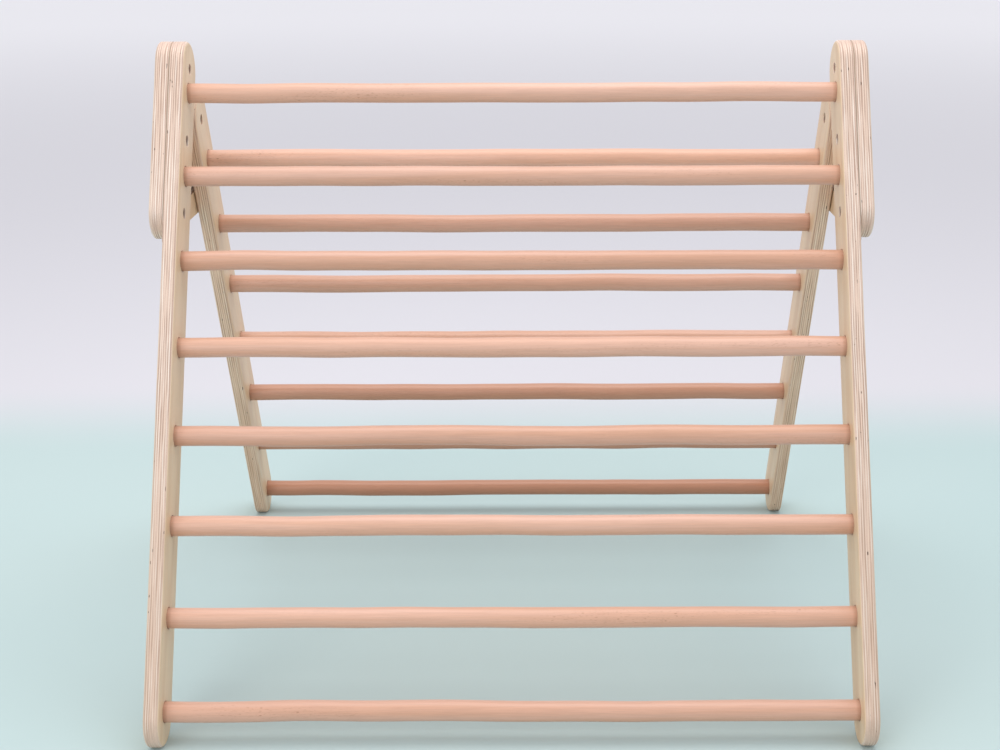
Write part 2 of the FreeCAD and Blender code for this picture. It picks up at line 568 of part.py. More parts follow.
def lock_knob(name, side):
    """A five-lobed knob on a boss, hollow for its nut."""
    body = new_body(f"lock_knob_{name}")
    boss = "Sizes.knob_boss_height"
    add_discs(body, "lobes", boss, f"Sizes.knob_height - {boss}", "Sizes.knob_radius", [("0", "0")], side)
    scallop = new_sketch(body, f"{body.Label}_scallop", "YZ_Plane", out=f"{side} * {boss}")
    centre = "Sizes.knob_radius + Sizes.knob_scallop_radius - Sizes.knob_scallop_depth"
    add_circle(scallop, "scallop", "Sizes.knob_scallop_radius", centre, "0")
    cut = pocket(body, scallop, f"Sizes.knob_height - {boss}", side)
    pattern = body.newObject("PartDesign::PolarPattern", f"Scallops_{name}")
    pattern.Originals = [cut]
    pattern.Axis = (scallop, ["N_Axis"])
    pattern.Angle = 360
    pattern.setExpression("Occurrences", "Sizes.knob_scallop_count")
    body.Tip = pattern
    doc.recompute()
    round_face_edges(body, side * size("Sizes.knob_height"), "Sizes.knob_round")
    add_discs(body, "boss", "0", boss, "Sizes.knob_boss_radius", [("0", "0")], side)
    nut_seat = new_sketch(body, f"{body.Label}_nut_seat", "YZ_Plane")
    add_circle(nut_seat, "seat", "Sizes.knob_nut_radius")
    pocket(body, nut_seat, "Sizes.knob_nut_length", side)
    place(body, x=f"{side} * {KNOB_BASE}", y=LOCK_Y, z=LOCK_Z)


for name, side in SIDES.items():
    rail_x = f"{side} * Sizes.inner_width / 2"
    rear_x = f"{side} * {REAR_FACE}"
    plate_x = f"{side} * {PLATE_FACE}"
    front_rail(name, side)
    rear_rail(name, side)
    side_plate(name, side)
    rung_screws(f"front_rung_screws_{name}", side, "Sizes.front_rung_count",
                "(Sizes.inner_width / 2)", FRONT_PLACE)
    rung_screws(f"rear_rung_screws_{name}", side, "Sizes.rear_rung_count", REAR_FACE, REAR_PLACE)
    cap_screws(f"plate_screws_{name}", side, PLATE_SCREWS, "Sizes.head_recess_depth", rail_x)
    cap_screws(f"pivot_screw_{name}", side, PIVOT_PLACE,
               "(Sizes.head_recess_depth - Sizes.swing_gap - Sizes.running_gap)", rail_x)
    tubes(f"plate_inserts_{name}", side, "0", "Sizes.insert_length", "Sizes.insert_radius",
          "Sizes.screw_shank_radius", INSERT_PLACES, plate_x, FRONT_PLACE)
    tubes(f"pivot_bush_{name}", side, "Sizes.head_recess_depth",
          "Sizes.ply_thickness - Sizes.head_recess_depth", "Sizes.bush_radius",
          "Sizes.screw_shank_radius + Sizes.shaft_clearance", [("0", REAR_REACH)], rear_x, REAR_PLACE)
    tubes(f"pivot_washer_{name}", side, "Sizes.ply_thickness - (Sizes.swing_gap - Sizes.running_gap)",
          "Sizes.swing_gap - Sizes.running_gap", "Sizes.washer_radius",
          "Sizes.screw_shank_radius + Sizes.running_gap", PIVOT_PLACE, rail_x, FRONT_PLACE)
    lock_bolt(name, side)
    lock_knob(name, side)
    tubes(f"knob_nut_{name}", side, "0", "Sizes.knob_nut_length", "Sizes.knob_nut_radius",
          "Sizes.lock_shank_radius + Sizes.shaft_clearance", [("0", "0")],
          f"{side} * {KNOB_BASE}", {"y": LOCK_Y, "z": LOCK_Z})
    tubes(f"lock_washer_{name}", side, "0", "Sizes.lock_washer_thickness", "Sizes.lock_washer_radius",
          "Sizes.lock_shank_radius + Sizes.running_gap", [("0", "0")],
          f"{side} * ({KNOB_BASE} - Sizes.lock_washer_thickness)", {"y": LOCK_Y, "z": LOCK_Z})

for number in range(1, int(size("Sizes.front_rung_count")) + 1):
    rung(f"front_rung_{number}", number, "Sizes.front_rung_count", "Sizes.inner_width / 2", FRONT_PLACE)
for number in range(1, int(size("Sizes.rear_rung_count")) + 1):
    rung(f"rear_rung_{number}", number, "Sizes.rear_rung_count", REAR_FACE, REAR_PLACE)

# ---- check the whole document, then write one file per sub-part ----
doc.recompute()
for item in doc.Objects:
    if "Invalid" in item.State or "Error" in item.State:
        raise RuntimeError(f"{item.Label} is left failed: {item.State}")
for body in subparts:
    if body.Shape.isNull() or not body.Shape.isValid():
        raise RuntimeError(f"{body.Label} has no valid shape")
os.makedirs("parts", exist_ok=True)
for body in subparts:
    body.Shape.exportStep(f"parts/{body.Label}.step")
print(f"{len(subparts)} sub-parts written")
print(f"pivot at x 0, y {size(PIVOT_UP) * size(SIN) + size(PIVOT_ACROSS) * size(COS) - size(STANCE) / 2:.3f},"
      f" z {size(FOOT_HEIGHT) + size(PIVOT_UP) * size(COS) - size(PIVOT_ACROSS) * size(SIN):.3f}")
print(f"lock bolt at y {size(LOCK_Y):.3f}, z {size(LOCK_Z):.3f}")
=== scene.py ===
# Folding climbing triangle: its boards, rungs, fastenings and finishes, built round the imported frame.
# Lengths are metres. X runs along the rungs, +Y from the front ladder to the rear ladder, +Z is up.
import bmesh
import bpy
import json
import math
from mathutils import Matrix, Vector


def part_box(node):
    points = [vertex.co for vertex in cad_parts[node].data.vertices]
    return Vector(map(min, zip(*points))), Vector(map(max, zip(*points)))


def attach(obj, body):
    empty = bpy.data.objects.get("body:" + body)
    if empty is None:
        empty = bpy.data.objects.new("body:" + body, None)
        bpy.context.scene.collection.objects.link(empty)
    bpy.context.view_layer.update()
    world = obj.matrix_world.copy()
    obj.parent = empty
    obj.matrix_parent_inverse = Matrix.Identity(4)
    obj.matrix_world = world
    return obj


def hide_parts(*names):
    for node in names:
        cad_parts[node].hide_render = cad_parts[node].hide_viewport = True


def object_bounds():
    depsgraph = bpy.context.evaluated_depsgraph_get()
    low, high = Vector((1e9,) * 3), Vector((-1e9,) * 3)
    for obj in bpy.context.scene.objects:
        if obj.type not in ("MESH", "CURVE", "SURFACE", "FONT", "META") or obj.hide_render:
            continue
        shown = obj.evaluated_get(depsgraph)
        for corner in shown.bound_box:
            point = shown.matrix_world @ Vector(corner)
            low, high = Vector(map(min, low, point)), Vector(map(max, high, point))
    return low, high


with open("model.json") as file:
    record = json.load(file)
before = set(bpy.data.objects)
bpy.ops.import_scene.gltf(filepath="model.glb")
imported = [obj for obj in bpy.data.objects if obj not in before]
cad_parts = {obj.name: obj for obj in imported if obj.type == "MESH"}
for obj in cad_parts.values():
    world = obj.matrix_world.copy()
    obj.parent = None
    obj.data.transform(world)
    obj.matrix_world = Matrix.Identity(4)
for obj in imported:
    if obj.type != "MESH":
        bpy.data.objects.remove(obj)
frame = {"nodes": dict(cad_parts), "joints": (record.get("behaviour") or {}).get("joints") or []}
cad_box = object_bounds()

MM = 0.001
SIDES = {"left": -1, "right": 1}

# boards
PLY_THICKNESS = 18 * MM
PLY_LAYERS = 13
RAIL_WIDTH = 68 * MM
EDGE_ROUND = 4 * MM
EDGE_BREAK = 1 * MM
FOOT_BELOW_RUNG = 6 * MM
PLATE_CORNER = 30 * MM
PLATE_BELOW_SCREW = 30 * MM
HOLE_EASE = 0.5 * MM
ARC_CORNERS = 96
OVERCUT = 1 * MM  # how far a cutter reaches past the wood
CLEARANCE = 0.2 * MM  # the room round a screw in its hole; the lock bolt has half of it
NEARLY = 0.1 * MM  # places closer than this count as the same
FLUSH = 0.001 * MM  # points this close along X lie in one face

# rungs
RUNG_RADIUS = 12 * MM
RUNG_SEAT_DEPTH = 10 * MM
RUNG_SEAT_RADIUS = 12.6 * MM
RUNG_END_BEVEL = 1 * MM
RUNG_CORNERS = 72
RUNG_CUTS = 47
RUNG_WAVER = 3 * MM
RUNG_WAVER_LENGTH = 160 * MM
RUNG_WAVER_EASE = 60 * MM  # the waver grows to its full size over this length

# fastenings
RECESS_RADIUS = 6.5 * MM
RECESS_DEPTH = 8 * MM
BUSH_RADIUS = 5 * MM
CAP_HEAD_RADIUS = 5 * MM
CAP_HEAD_HEIGHT = 6 * MM
CAP_RIM = 0.6 * MM
CAP_SHANK_RADIUS = 3 * MM
CAP_LENGTH = 29 * MM
CAP_SOCKET = (2.6 * MM, 3 * MM)  # each socket is (radius, depth)
WOOD_SCREW_HEAD = 4 * MM
WOOD_SCREW_RIM = 0.3 * MM
WOOD_SCREW_SHANK = 2 * MM
WOOD_SCREW_LENGTH = 40 * MM
WOOD_SCREW_SUNK = 0.05 * MM
WOOD_SCREW_POINT = 0.3 * MM
WOOD_SCREW_SOCKET = (1.5 * MM, 1.8 * MM)
SOCKET_LEAD_DEPTH = 0.3 * MM
SOCKET_LEAD_WIDE, SOCKET_LEAD_NARROW = 1.2 * MM, 0.1 * MM

# the lock
BOLT_HEAD_RADIUS = 8 * MM
BOLT_HEAD_HEIGHT = 4 * MM
BOLT_HEAD_CLEARANCE = 0.6 * MM
BOLT_DOME = 3.2 * MM
BOLT_SHANK_RADIUS = 4 * MM
BOLT_NECK = 5 * MM
BOLT_NECK_CORNER = 0.5 * MM
SLOT_HALF_WIDTH = 4.4 * MM
SLOT_STEPS = 24
KNOB_RADIUS = 20 * MM
KNOB_HEIGHT = 20 * MM
KNOB_RIM = 3 * MM
KNOB_CORNERS = 120
KNOB_BOSS_RADIUS = 10 * MM
KNOB_BOSS_HEIGHT = 5 * MM
KNOB_LOBES = 5
KNOB_SCALLOP_RADIUS = 9 * MM
KNOB_SCALLOP_DEPTH = 4.5 * MM
KNOB_SOFT_CORNER = 0.9 * MM
KNOB_NUT_HOLE_RADIUS = 6.5 * MM
KNOB_NUT_HOLE_DEPTH = 12 * MM
# each is (depth under the knob's face, radius)
KNOB_DISH = [(-1 * MM, 10.5 * MM), (0.2 * MM, 9.3 * MM), (0.9 * MM, 8.6 * MM), (1.1 * MM, 8.0 * MM)]
KNOB_BUTTON = [(0.4 * MM, 5.0 * MM), (0.7 * MM, 5.6 * MM), (2 * MM, 5.8 * MM)]


# ---- what the frame says ----
def centre(node):
    """The middle of a CAD node's box."""
    low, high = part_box(node)
    return (low + high) / 2


def centres(node):
    """The centre of each separate solid of a CAD node, from the highest to the lowest."""
    mesh = bmesh.new()
    mesh.from_mesh(frame["nodes"][node].data)
    bmesh.ops.remove_doubles(mesh, verts=mesh.verts, dist=0.01 * MM)
    left, found = set(mesh.verts), []
    while left:
        solid, edge = set(), {left.pop()}
        while edge:
            solid |= edge
            edge = {e.other_vert(v) for v in edge for e in v.link_edges} - solid
        left -= solid
        corners = [[v.co[i] for v in solid] for i in range(3)]
        found.append(Vector([(min(c) + max(c)) / 2 for c in corners]))
    mesh.free()
    return sorted(found, key=lambda point: -point.z)


def span(node):
    """How far from the middle of the object a CAD node starts, and how long it is along X."""
    low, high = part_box(node)
    return min(abs(low.x), abs(high.x)), high.x - low.x


def level_with(x, spot):
    """The place at this X that a line along the rungs through the spot meets."""
    return Vector((x, spot.y, spot.z))


class Ladder:
    """One ladder: where its round feet are, how it leans, and its rungs from the top down."""

    def __init__(self, word, count):
        self.word = word
        self.body = f"{word}_ladder"
        self.rungs = [f"{word}_rung_{number}" for number in range(1, count + 1)]
        top, low = centre(self.rungs[0]), centre(self.rungs[-1])
        self.up = (top - low).normalized()
        self.lean = math.atan2(self.up.y, self.up.z)
        self.foot = low - self.up * FOOT_BELOW_RUNG


front = Ladder("front", 8)
rear = Ladder("rear", 7)
joints = {joint["name"]: joint for joint in frame["joints"]}
pivot = Vector(joints["fold"]["pos_m"])
lock = Vector(joints["right_knob_turn"]["pos_m"])
fold_travel = math.radians(joints["fold"]["range_deg"][1])
plate_screws = centres("plate_screws_right")
top_of_front = plate_screws[0]
plate_low = plate_screws[-1].z - PLATE_BELOW_SCREW


# ---- the workshop: small modelling steps ----
def clear_selection():
    """Leave edit mode, with nothing selected."""
    if bpy.context.object and bpy.context.object.mode != "OBJECT":
        bpy.ops.object.mode_set(mode="OBJECT")
    bpy.ops.object.select_all(action="DESELECT")


def pick(*pieces):
    """Select these pieces only, the first one active; returns the first."""
    clear_selection()
    for piece in pieces:
        piece.select_set(True)
    bpy.context.view_layer.objects.active = pieces[0]
    return pieces[0]


def settle(piece):
    """Give the piece's place, turn and scale to its mesh."""
    pick(piece)
    bpy.ops.object.transform_apply(location=True, rotation=True, scale=True)
    return piece


def edit(piece, mode="EDGE"):
    """Into edit mode with nothing selected."""
    pick(piece)
    bpy.ops.object.mode_set(mode="EDIT")
    bpy.ops.mesh.select_mode(type=mode)
    bpy.ops.mesh.select_all(action="DESELECT")


def select(piece, kind, wanted):
    """Select the vertices, edges or faces of the edited mesh that the test wants."""
    mesh = bmesh.from_edit_mesh(piece.data)
    bpy.ops.mesh.select_all(action="DESELECT")
    for item in getattr(mesh, kind):
        if wanted(item):
            item.select_set(True)
    mesh.select_flush_mode()
    bmesh.update_edit_mesh(piece.data)


def rod(place, out, start, end, radius, end_radius=None, corners=48):
    """A round bar, or a cone, along X: from start to end outwards from its place."""
    bpy.ops.mesh.primitive_cone_add(
        vertices=corners, radius1=radius, radius2=radius if end_radius is None else end_radius,
        depth=end - start, location=place + Vector((out * (start + end) / 2, 0, 0)),
        rotation=(0, out * math.pi / 2, 0))
    return settle(bpy.context.object)


def turned(place, out, stations, corners=48):
    """A turned piece along X: its end face is extruded and resized from station to station,
    each (distance outwards, radius)."""
    (start, radius), (end, end_radius) = stations[:2]
    piece = rod(place, out, start, end, radius, end_radius, corners)
    edit(piece, "FACE")
    far = place.x + out * end
    select(piece, "faces", lambda face: all(abs(v.co.x - far) < FLUSH for v in face.verts))
    for (near, now), (next_end, next_radius) in zip(stations[1:], stations[2:]):
        step = (out * (next_end - near), 0, 0)
        bpy.ops.mesh.extrude_region_move(TRANSFORM_OT_translate={"value": step})
        share = next_radius / now
        middle = (place.x + out * next_end, place.y, place.z)
        bpy.ops.transform.resize(value=(1, share, share), center_override=middle)
    bpy.ops.object.mode_set(mode="OBJECT")
    return piece


def square_bar(place, out, start, end, width, lean):
    """A square bar along X, leaning with its ladder: from start to end outwards from its place."""
    bpy.ops.mesh.primitive_cube_add(size=1, location=place + Vector((out * (start + end) / 2, 0, 0)),
                                    rotation=(-lean, 0, 0), scale=(end - start, width, width))
    return settle(bpy.context.object)


def joined(pieces):
    """Several objects as one mesh."""
    first = pick(*pieces)
    if len(pieces) > 1:
        bpy.ops.object.join()
    return first


def modified(piece, name, kind, **settings):
    """Finish the piece with one modifier and apply it."""
    pick(piece)
    modifier = piece.modifiers.new(name, kind)
    for key, value in settings.items():
        setattr(modifier, key, value)
    bpy.ops.object.modifier_apply(modifier=modifier.name)
    return piece


def combined(piece, other, operation):
    """Add the other's solid to the piece's, or take it out; the other is used up."""
    modified(piece, operation.lower(), "BOOLEAN", operation=operation, solver="EXACT", object=other)
    bpy.data.objects.remove(other)
    return piece


def cut(piece, *cutters):
    """Take the cutters' shapes out of the piece, all in one go: they don't overlap."""
    return combined(piece, joined(cutters), "DIFFERENCE")


def fuse(piece, other):
    """Make the other one solid with the piece."""
    return combined(piece, other, "UNION")


def copy_at(piece, offset):
    """A copy with its own mesh, moved by the offset."""
    twin = piece.copy()
    twin.data = piece.data.copy()
    bpy.context.scene.collection.objects.link(twin)
    twin.location = twin.location + offset
    return settle(twin)


def smooth(piece, angle=35):
    """Smooth shading over gentle corners, with the broad flat faces kept flat."""
    pick(piece)
    bpy.ops.object.shade_smooth_by_angle(angle=math.radians(angle))
    modified(piece, "flat_faces", "WEIGHTED_NORMAL", keep_sharp=True)


def finished(piece, name, body, nodes, material):
    """Name the piece, give it its finish, and let it ride in place of its CAD nodes."""
    piece.name = name
    piece.data.name = name
    piece.data.materials.clear()
    piece.data.materials.append(material)
    smooth(piece)
    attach(piece, body)
    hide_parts(*nodes)
    return piece


# ---- finishes ----
class Finish:
    """A material being made up. Lengths in patterns are Object coordinates, so a scale counts
    the pattern's cycles in a metre."""

    def __init__(self, name):
        self.material = bpy.data.materials.new(name)
        self.material.use_nodes = True
        self.tree = self.material.node_tree
        self.shader = self.tree.nodes["Principled BSDF"]
        self.coordinates = self.tree.nodes.new("ShaderNodeTexCoord")

    def node(self, kind, **settings):
        """A new node with these settings."""
        made = self.tree.nodes.new(kind)
        for key, value in settings.items():
            setattr(made, key, value)
        return made

    def feed(self, socket, value):
        """Link a node's output to the socket, or set the socket to a number or a colour."""
        if isinstance(value, bpy.types.NodeSocket):
            self.tree.links.new(value, socket)
        elif socket.type == "RGBA":
            socket.default_value = (*value, 1)
        else:
            socket.default_value = value

    def math(self, operation, *values):
        made = self.node("ShaderNodeMath", operation=operation)
        for socket, value in zip(made.inputs, values):
            self.feed(socket, value)
        return made.outputs[0]

    def times(self, first, *others):
        for other in others:
            first = self.math("MULTIPLY", first, other)
        return first

    def plus(self, first, second):
        return self.math("ADD", first, second)

    def minus(self, first, second):
        return self.math("SUBTRACT", first, second)

    def size(self, value):
        """The value without its sign."""
        return self.math("ABSOLUTE", value)

    def place(self, turn=0.0, shift=(0, 0, 0), scale=(1, 1, 1), source=None):
        """Object coordinates turned about X, shifted and scaled."""
        made = self.node("ShaderNodeMapping")
        self.feed(made.inputs["Vector"], source or self.coordinates.outputs["Object"])
        made.inputs["Rotation"].default_value = (turn, 0, 0)
        made.inputs["Location"].default_value = shift
        made.inputs["Scale"].default_value = scale
        return made.outputs[0]

    def split(self, vector):
        """The X, Y and Z of a vector."""
        made = self.node("ShaderNodeSeparateXYZ")
        self.feed(made.inputs[0], vector)
        return made.outputs

    def join(self, x, y, z):
        """A vector or a colour from its three parts."""
        made = self.node("ShaderNodeCombineXYZ")
        for socket, value in zip(made.inputs, (x, y, z)):
            self.feed(socket, value)
        return made.outputs[0]

    def noise(self, vector, scale=1.0, detail=2.0, distortion=0.0, roughness=0.5):
        """A cloudy pattern of values round 0.5."""
        made = self.node("ShaderNodeTexNoise")
        self.feed(made.inputs["Vector"], vector)
        made.inputs["Scale"].default_value = scale
        made.inputs["Detail"].default_value = detail
        made.inputs["Distortion"].default_value = distortion
        made.inputs["Roughness"].default_value = roughness
        return made.outputs["Fac"]

    def spots(self, vector):
        """The distance to the nearest of many scattered points."""
        made = self.node("ShaderNodeTexVoronoi", feature="F1")
        self.feed(made.inputs["Vector"], vector)
        made.inputs["Scale"].default_value = 1.0
        return made.outputs["Distance"]

    def ramp(self, value, low, high, bottom=0.0, top=1.0):
        """The value's stretch from low to high, smoothly made bottom to top."""
        made = self.node("ShaderNodeMapRange", interpolation_type="SMOOTHSTEP")
        for socket, number in zip(made.inputs, (value, low, high, bottom, top)):
            self.feed(socket, number)
        return made.outputs[0]

    def mix(self, share, first, second, **settings):
        """Two values or two colours mixed by a share from 0 to 1."""
        made = self.node("ShaderNodeMix", **settings)
        for name, value in (("Factor", share), ("A", first), ("B", second)):
            self.feed(made.inputs[name], value)
        return made.outputs["Result"]

    def blend(self, share, first, second, kind="MIX"):
        """Two colours mixed by a share from 0 to 1."""
        return self.mix(share, first, second, data_type="RGBA", blend_type=kind)

    def shaded(self, colour, factor):
        """The colour made lighter or darker by a factor."""
        return self.blend(1.0, colour, self.join(factor, factor, factor), "MULTIPLY")

    def relief(self, height, depth, strength):
        """Fine relief: where the height is 1, the surface stands out by the depth."""
        made = self.node("ShaderNodeBump")
        made.inputs["Strength"].default_value = strength
        made.inputs["Distance"].default_value = depth
        self.feed(made.inputs["Height"], height)
        self.tree.links.new(made.outputs[0], self.shader.inputs["Normal"])

    def surface(self, colour, roughness, **uniform):
        """The finished material, from its colour and roughness; anything else is the same all over."""
        self.feed(self.shader.inputs["Base Color"], colour)
        self.feed(self.shader.inputs["Roughness"], roughness)
        for key, value in uniform.items():
            self.shader.inputs[key.replace("_", " ")].default_value = value
        return self.material


BIRCH_FACE = (0.78, 0.59, 0.395)
BIRCH_FACE_WARM = (0.70, 0.49, 0.30)
BIRCH_EDGE = (0.91, 0.79, 0.69)
BIRCH_EDGE_WARM = (0.80, 0.62, 0.50)
BIRCH_END_GRAIN = (0.53, 0.34, 0.265)
BIRCH_END_PALE = (0.76, 0.55, 0.45)
BIRCH_GLUE = (0.30, 0.17, 0.12)
BIRCH_VOID = (0.12, 0.065, 0.04)
# the next colour is painted shade along the seam between a rail and its side plate
BIRCH_SEAM_SHADE = (0.16, 0.09, 0.06)
BIRCH_LOW_EDGE = (0.52, 0.35, 0.24)
BIRCH_YELLOWED = (1.0, 0.94, 0.80)
BIRCH_FLECK = (0.42, 0.26, 0.16)


def birch_plywood(name, inner_face, ladder, yellowed=0.0):
    """Birch plywood: veneers stacked outwards from the board's inner face, their grain running
    up the board and across it by turns. So each shows long grain on one edge of the board and
    end grain on the other."""
    made = Finish(name)
    stood = Matrix.Rotation(ladder.lean, 4, "X")
    on_board = made.place(turn=ladder.lean, shift=-(stood @ ladder.foot))
    out, across, along = made.split(on_board)
    turn = made.node("ShaderNodeVectorRotate", rotation_type="X_AXIS")
    turn.inputs["Angle"].default_value = ladder.lean
    made.feed(turn.inputs["Vector"], made.coordinates.outputs["Normal"])
    normal = [made.size(value) for value in made.split(turn.outputs[0])]

    # which veneer this point is in; the veneers' thickness wanders along the board
    layers = PLY_LAYERS / PLY_THICKNESS
    depth = made.times(made.minus(made.size(out), inner_face), layers)
    wander = made.noise(made.place(scale=(130, 16, 9), source=on_board), detail=3)
    depth = made.plus(depth, made.times(made.minus(wander, 0.5), 2.0))
    depth = made.math("MINIMUM", made.math("MAXIMUM", depth, 0.05), PLY_LAYERS - 0.05)
    layer = made.math("FLOOR", depth)
    within = made.math("FRACT", depth)
    crosswise = made.math("MODULO", layer, 2.0)

    # long grain or end grain
    upright_end = made.times(made.minus(1.0, crosswise), normal[2])
    crosswise_end = made.times(crosswise, normal[1])
    end_grain = made.ramp(made.plus(upright_end, crosswise_end), 0.25, 0.85)

    # each veneer has its own tone, drifting along the board, and its own fibres
    own_place = made.join(made.times(layer, 3.7), made.times(across, 4), made.times(along, 11))
    tone = made.noise(own_place, detail=2)
    fibre_up = made.noise(made.place(scale=(1100, 1100, 22), source=on_board), detail=3)
    fibre_across = made.noise(made.place(scale=(1100, 22, 1100), source=on_board), detail=3)
    fibre = made.mix(crosswise, fibre_up, fibre_across)

    # the broad faces, the edges' long grain and their end grain
    figure = made.noise(made.place(scale=(30, 34, 3.2), source=on_board), detail=4, distortion=0.8)
    face = made.blend(made.ramp(figure, 0.38, 0.72), BIRCH_FACE, BIRCH_FACE_WARM)
    dashes = made.noise(made.place(scale=(800, 800, 85), source=on_board), detail=1)
    face = made.blend(made.ramp(dashes, 0.70, 0.80, 0, 0.30), face, BIRCH_FLECK)
    edge = made.blend(made.ramp(tone, 0.38, 0.62), BIRCH_EDGE, BIRCH_EDGE_WARM)
    edge_on = made.ramp(normal[0], 0.55, 0.95, 1, 0)
    long_grain = made.blend(edge_on, face, edge)
    ends = made.blend(made.ramp(tone, 0.40, 0.62), BIRCH_END_GRAIN, BIRCH_END_PALE)
    colour = made.blend(end_grain, long_grain, ends)
    colour = made.shaded(colour, made.ramp(fibre, 0.3, 0.7, 0.90, 1.05))

    # the edges darker and browner towards the floor
    high_up = made.split(made.coordinates.outputs["Object"])[2]
    darker_low_edges = made.times(made.ramp(high_up, 0.05, 0.5, 0.4, 0), edge_on)
    colour = made.blend(darker_low_edges, colour, BIRCH_LOW_EDGE)

    # the glue lines, and now and then a void in a crosswise veneer
    off_line = made.math("MINIMUM", within, made.minus(1.0, within))
    spread = made.noise(made.place(scale=(500, 30, 22), source=on_board), detail=1)
    line = made.ramp(off_line, 0.03, 0.16, 1, 0)
    glue = made.times(line, made.ramp(spread, 0.35, 0.65, 0.15, 0.75), edge_on)
    colour = made.blend(glue, colour, BIRCH_GLUE)
    gap = made.noise(made.place(scale=(260, 40, 90), source=on_board), detail=1)
    void = made.times(made.ramp(gap, 0.73, 0.76), made.times(edge_on, crosswise))
    colour = made.blend(void, colour, BIRCH_VOID)

    colour = made.blend(made.times(edge_on, yellowed), colour, BIRCH_YELLOWED, "MULTIPLY")

    # painted shade: a dark line on the edges where the rail and the plate lie on each other, standing in
    # for the shade in the valley between them
    apart = made.size(made.minus(made.size(out), PLATE_INNER))
    painted_seam_shade = made.times(made.ramp(apart, 0.3 * MM, 1.3 * MM, 0.85, 0),
                      made.ramp(high_up, plate_low - 3 * MM, plate_low + 3 * MM))
    colour = made.blend(made.times(painted_seam_shade, edge_on), colour, BIRCH_SEAM_SHADE)

    # pin knots
    knots = made.spots(made.place(scale=(5, 9, 4), source=on_board))
    colour = made.blend(made.ramp(knots, 0.012, 0.03, 0.75, 0), colour, BIRCH_FLECK)

    # rounded and broken edges are handled more, so a little darker and smoother
    squareness = made.math("MAXIMUM", normal[0], made.math("MAXIMUM", normal[1], normal[2]))
    worn = made.ramp(squareness, 0.80, 0.99, 1, 0)
    colour = made.blend(made.times(worn, 0.12), colour, BIRCH_EDGE_WARM)
    rough = made.ramp(fibre, 0.3, 0.7, 0.40, 0.54)
    rough = made.minus(rough, made.times(worn, 0.08))
    rough = made.plus(rough, made.times(end_grain, 0.14))
    height = made.minus(made.times(fibre, 0.5), made.times(glue, 0.9))
    height = made.minus(height, made.times(void, 2.0))
    made.relief(height, 0.12 * MM, 0.6)
    return made.surface(colour, rough, Coat_Weight=0.15, Coat_Roughness=0.35)


BEECH_LIGHT = (0.81, 0.515, 0.405)
BEECH_MID = (0.76, 0.445, 0.315)
BEECH_WARM = (0.46, 0.205, 0.115)
BEECH_RAY = (0.40, 0.19, 0.11)


def beech(name, warmth_and_shade):
    """Steamed beech turned to a round rod: fine fibres along it, soft bands, and short dark rays
    that gather on the sides where the growth rings lie flat. Warmth is 0 for a pale rod, 1 for a
    red one; in the deepest tones, given to the rear ladder's lower rungs, part of it is painted shade."""
    made = Finish(name)
    bands = made.noise(made.place(scale=(1.6, 60, 60)), detail=3, distortion=0.5)
    colour = made.blend(made.ramp(bands, 0.35, 0.68), BEECH_LIGHT, BEECH_MID)
    colour = made.blend(warmth_and_shade, colour, BEECH_WARM)
    drift = made.noise(made.place(scale=(0.7, 9, 9)), detail=1)
    colour = made.blend(made.ramp(drift, 0.4, 0.7, 0, 0.2), colour, BEECH_WARM)
    fibre = made.noise(made.place(scale=(26, 900, 900)), detail=4, roughness=0.6)
    colour = made.shaded(colour, made.ramp(fibre, 0.3, 0.7, 0.93, 1.04))

    # rays, and pits among them
    rays = made.noise(made.place(scale=(210, 1300, 1300)), detail=0)
    gathered = made.noise(made.place(scale=(3.5, 55, 55)), detail=1)
    ray = made.times(made.ramp(rays, 0.64, 0.76), made.ramp(gathered, 0.55, 0.72, 0.04, 0.42))
    colour = made.blend(ray, colour, BEECH_RAY)
    pits = made.spots(made.place(scale=(55, 150, 150)))
    pit = made.times(made.ramp(pits, 0.05, 0.13, 0.8, 0), made.ramp(gathered, 0.62, 0.70))
    colour = made.blend(pit, colour, BEECH_RAY)

    # painted shade: darker where the rod goes into its seat, standing in for the shade at the rail
    along = made.size(made.split(made.coordinates.outputs["Object"])[0])
    painted_seat_shade = made.ramp(along, RAIL_INNER["rear"] - 5 * MM, RAIL_INNER["rear"], 0, 0.5)
    colour = made.blend(painted_seat_shade, colour, BEECH_RAY)
    rough = made.ramp(fibre, 0.3, 0.7, 0.38, 0.50)
    made.relief(made.minus(made.times(fibre, 0.6), made.plus(ray, pit)), 0.06 * MM, 0.5)
    return made.surface(colour, rough, Coat_Weight=0.3, Coat_Roughness=0.35)


def turned_metal(name, colour, dark, patch_scale, mark_scale, smoothest, roughest):
    """A turned metal: a patchy colour and shine, and fine turning marks."""
    made = Finish(name)
    patches = made.noise(made.place(), scale=patch_scale, detail=3)
    marks = made.noise(made.place(scale=mark_scale), detail=1)
    made.relief(marks, 0.02 * MM, 0.5)
    rough = made.ramp(patches, 0.3, 0.7, smoothest, roughest)
    return made.surface(made.blend(patches, colour, dark), rough, Metallic=1.0)


def moulded_plastic(name, colour, dark):
    """Plastic with a fine grain and a faintly clouded colour."""
    made = Finish(name)
    grain = made.noise(made.place(), scale=2600, detail=2)
    cloud = made.noise(made.place(), scale=60, detail=2)
    made.relief(grain, 0.05 * MM, 0.7)
    return made.surface(made.blend(cloud, colour, dark), made.ramp(cloud, 0.3, 0.7, 0.42, 0.56))


RAIL_INNER = {word: span(f"{word}_rail_right")[0] for word in ("front", "rear")}
PLATE_INNER = span("side_plate_right")[0]

